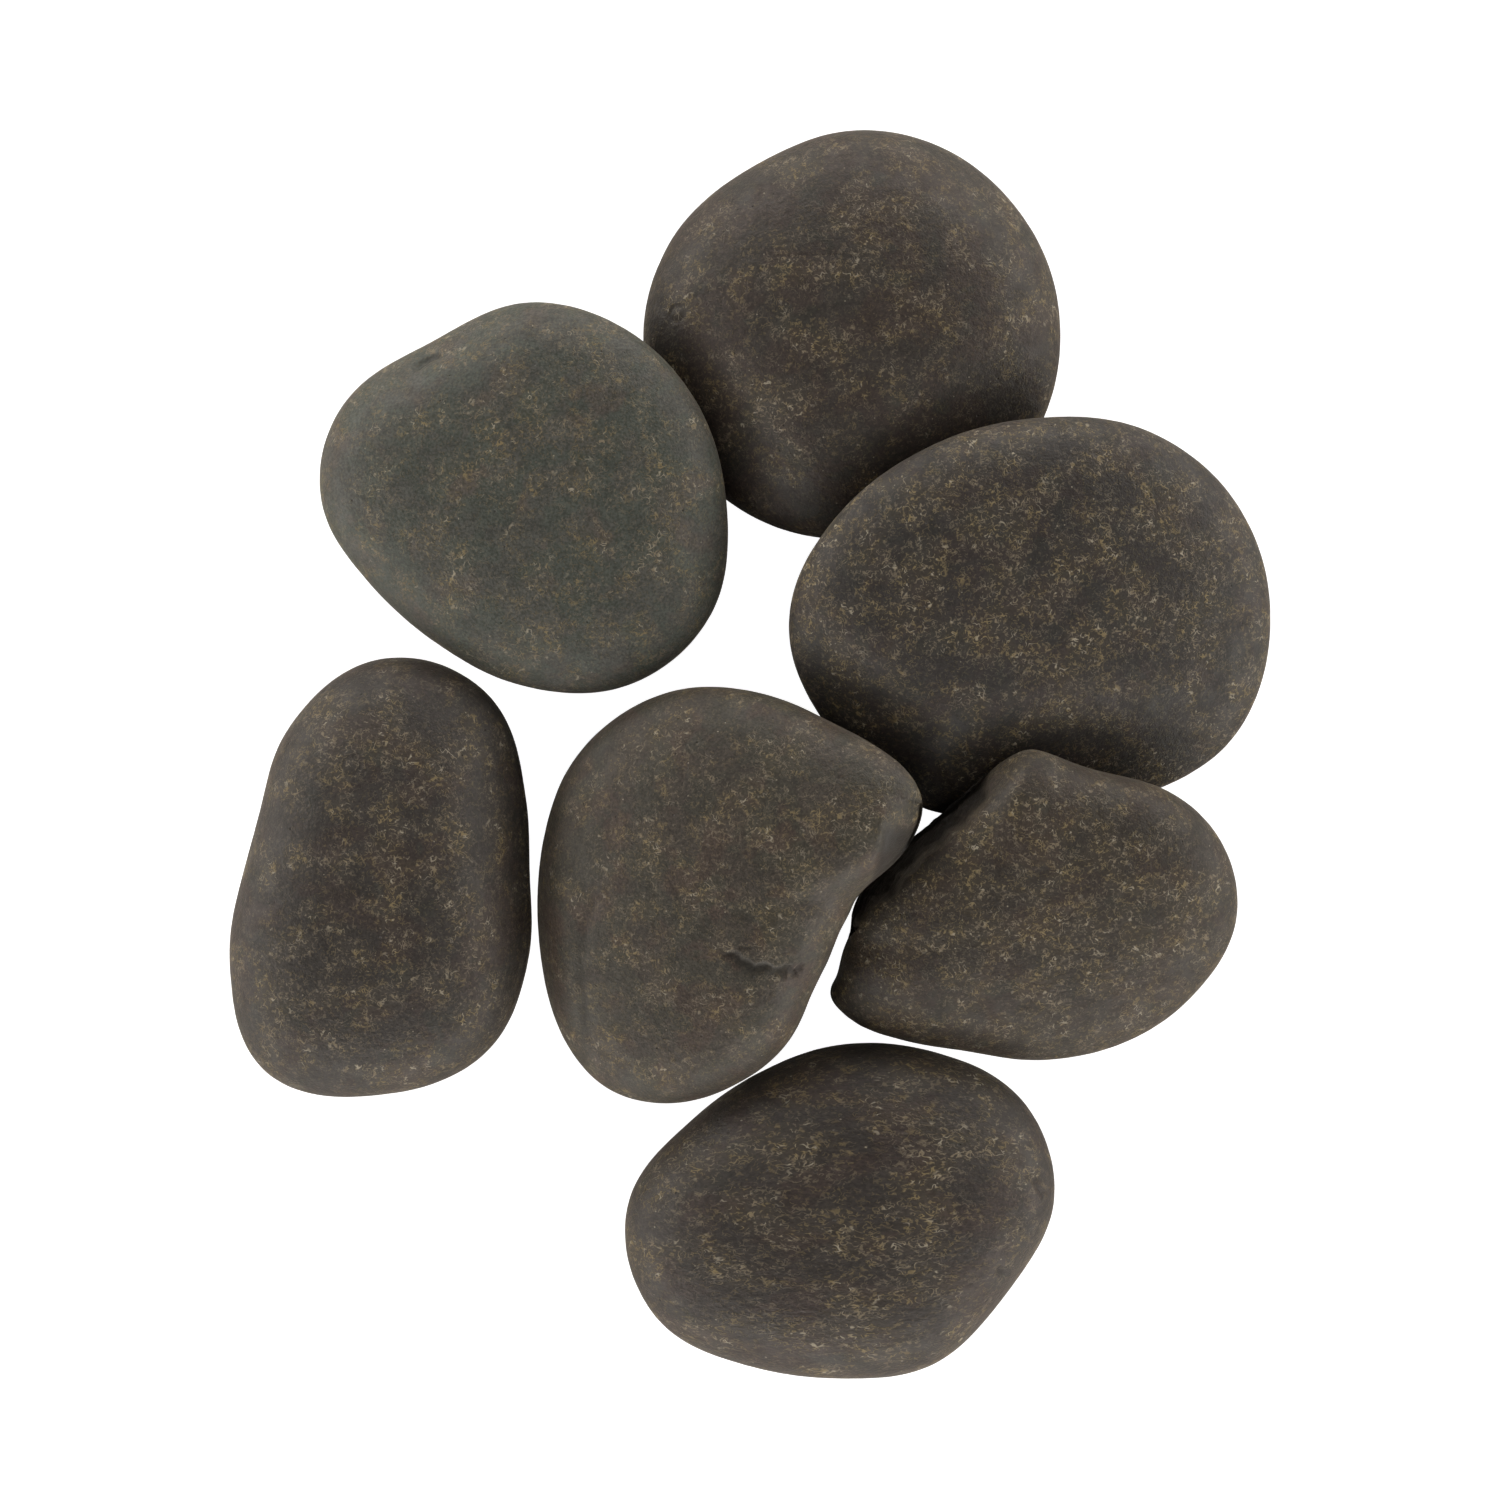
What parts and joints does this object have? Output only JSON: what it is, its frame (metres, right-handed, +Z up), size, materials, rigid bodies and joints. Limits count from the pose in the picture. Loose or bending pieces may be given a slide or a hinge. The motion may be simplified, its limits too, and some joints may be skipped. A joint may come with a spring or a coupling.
{
  "type": "massage stone set",
  "caption": "Smooth dark basalt pebbles for hot stone massage, lying loose on a table with some tipped up onto their neighbours.",
  "frame": {"origin": "on the table, under the middle of the group's bounding box", "axes": "+Z up from the table, +Y along the group's longest side, towards the round stone, +X towards the large stone"},
  "size_m": [0.1736, 0.2084, 0.0343],
  "materials": {
    "round_stone_basalt": "matt, smooth tumbled basalt with fine tan mineral threads",
    "large_stone_basalt": "matt, smooth tumbled basalt with fine tan mineral threads",
    "green_stone_basalt": "matt, smooth tumbled basalt with fine tan mineral threads",
    "notched_stone_basalt": "matt, smooth tumbled basalt with fine tan mineral threads",
    "knobbed_stone_basalt": "matt, smooth tumbled basalt with fine tan mineral threads",
    "egg_stone_basalt": "matt, smooth tumbled basalt with fine tan mineral threads",
    "long_stone_basalt": "matt, smooth tumbled basalt with fine tan mineral threads"
  },
  "bodies": {
    "round": {"round_stone": "round_stone_basalt"},
    "large": {"large_stone": "large_stone_basalt"},
    "green": {"green_stone": "green_stone_basalt"},
    "notched": {"notched_stone": "notched_stone_basalt"},
    "knobbed": {"knobbed_stone": "knobbed_stone_basalt"},
    "egg": {"egg_stone": "egg_stone_basalt"},
    "long": {"long_stone": "long_stone_basalt"}
  },
  "joints": [
    {"name": "green_stone_lift", "type": "slide", "parent": "round", "child": "green", "axis": [0, 0, 1], "range_m": [0, 0.06]},
    {"name": "large_stone_lift", "type": "slide", "parent": "round", "child": "large", "axis": [0, 0, 1], "range_m": [0, 0.06]},
    {"name": "notched_stone_lift", "type": "slide", "parent": "large", "child": "notched", "axis": [0, 0, 1], "range_m": [0, 0.06]},
    {"name": "knobbed_stone_lift", "type": "slide", "parent": "notched", "child": "knobbed", "axis": [0, 0, 1], "range_m": [0, 0.06]},
    {"name": "egg_stone_lift", "type": "slide", "parent": "round", "child": "egg", "axis": [0, 0, 1], "range_m": [0, 0.06]},
    {"name": "long_stone_lift", "type": "slide", "parent": "round", "child": "long", "axis": [0, 0, 1], "range_m": [0, 0.06]}
  ]
}
